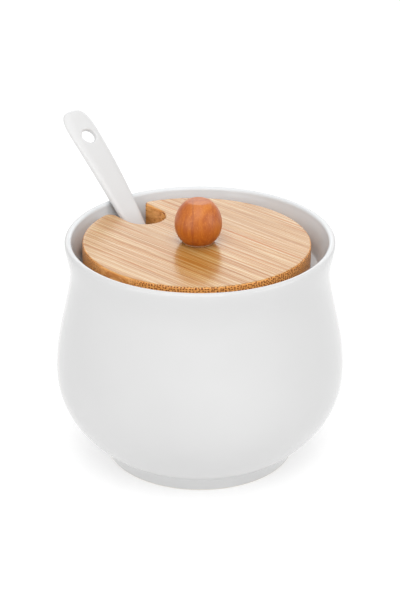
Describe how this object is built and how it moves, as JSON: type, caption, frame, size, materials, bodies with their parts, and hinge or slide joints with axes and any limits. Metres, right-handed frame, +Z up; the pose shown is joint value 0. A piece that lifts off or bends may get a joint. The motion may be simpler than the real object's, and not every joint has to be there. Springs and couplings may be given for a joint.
{
  "type": "lidded sugar bowl",
  "caption": "White glazed porcelain sugar bowl with an inset bamboo lid, a turned wooden ball knob and a porcelain spoon standing in the lid's notch.",
  "frame": {"origin": "on the bowl's vertical axis, at the level of the surface its foot ring stands on", "axes": "+Z up along the bowl's axis; the spoon's handle leans out between -X and +Y, and the viewer's side is -Y"},
  "size_m": [0.1015, 0.1017, 0.1068],
  "materials": {
    "porcelain": "clear gloss glaze over white porcelain",
    "spoon_porcelain": "clear gloss glaze over white porcelain",
    "bamboo": "laminated bamboo, sanded, clear satin oil",
    "stained_wood": "turned hardwood, orange-brown stain, clear varnish",
    "clear_plastic": "clear soft plastic",
    "zinc_steel": "bright zinc plate"
  },
  "bodies": {
    "bowl": {"bowl": "porcelain"},
    "lid": {"lid_board": "bamboo", "knob_washer": "clear_plastic", "knob": "stained_wood", "knob_screw": "zinc_steel"},
    "spoon": {"spoon": "spoon_porcelain"}
  },
  "joints": [
    {"name": "lid_lift", "type": "slide", "parent": "bowl", "child": "lid", "axis": [0, 0, 1], "range_m": [0, 0.05]},
    {"name": "spoon_slide", "type": "slide", "parent": "bowl", "child": "spoon", "axis": [-0.4949, 0.4821, 0.723], "range_m": [0, 0.03]}
  ]
}
